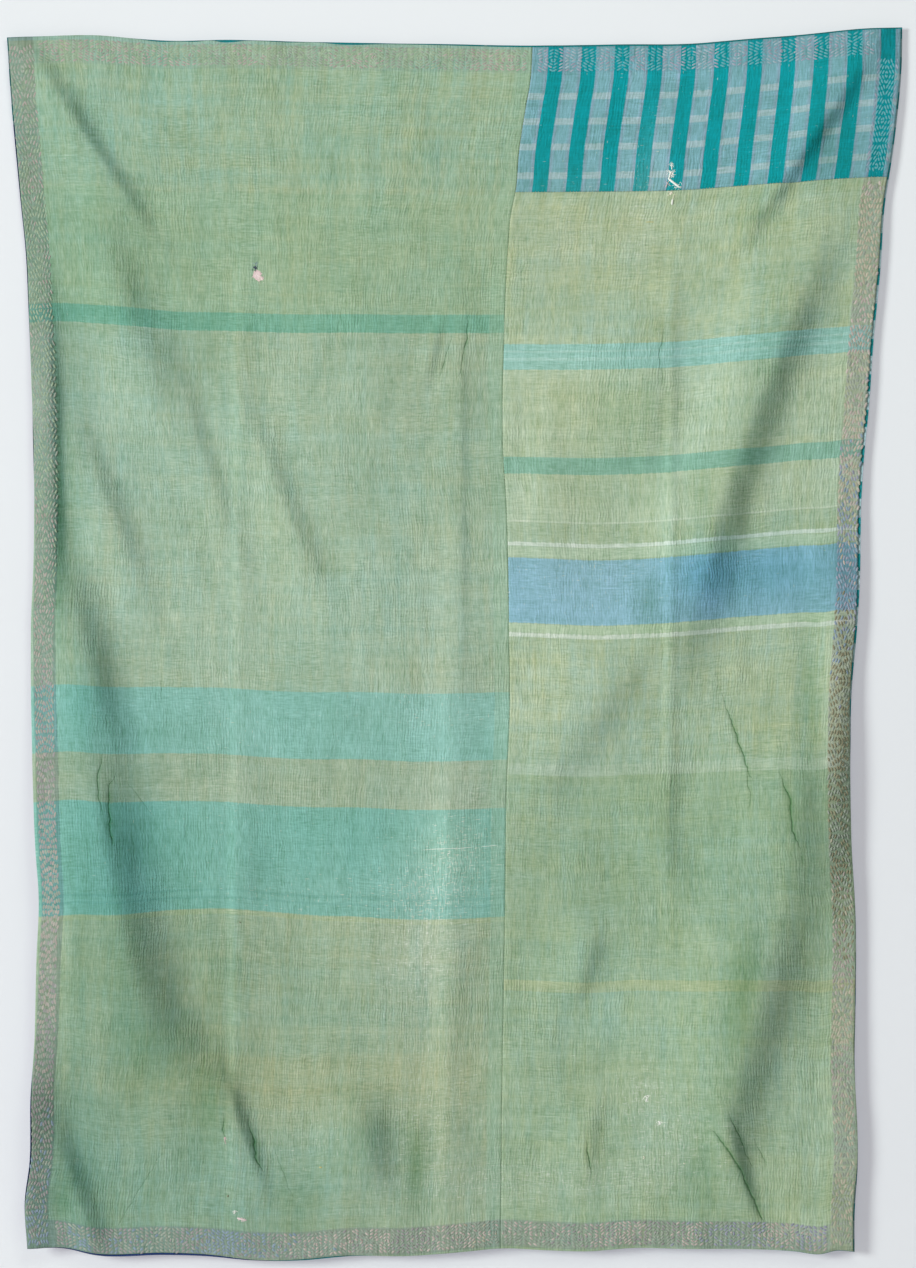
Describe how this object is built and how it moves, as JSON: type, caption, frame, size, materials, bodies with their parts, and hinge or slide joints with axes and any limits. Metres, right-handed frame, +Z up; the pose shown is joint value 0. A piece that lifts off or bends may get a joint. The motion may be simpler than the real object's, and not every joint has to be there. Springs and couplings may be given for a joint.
{
  "type": "hanging quilt",
  "caption": "Thin patched cotton throw with running-stitch quilting and an embroidered border, hanging in soft folds from its top edge.",
  "frame": {"origin": "the middle of the quilt's top edge, where it is held up", "axes": "+Z up along the quilt's drop, +X to the right of someone looking at its front, +Y towards its back"},
  "size_m": [1.485, 0.0444, 2.0468],
  "materials": {
    "teal_striped_backing": "matt woven cotton with teal and pale stripes, navy along the left side and the foot",
    "sage_green_cloth": "worn matt cotton, sage green with woven teal stripes, run-stitched all over",
    "olive_green_cloth": "worn matt cotton, olive green with a blue band and teal stripes, run-stitched all over",
    "teal_and_grey_stripe": "matt cotton in teal and blue-grey stripes, run-stitched all over"
  },
  "bodies": {
    "root": {"backing_cloth": "teal_striped_backing", "left_panel": "sage_green_cloth", "right_panel": "olive_green_cloth", "striped_patch": "teal_and_grey_stripe"}
  },
  "joints": []
}
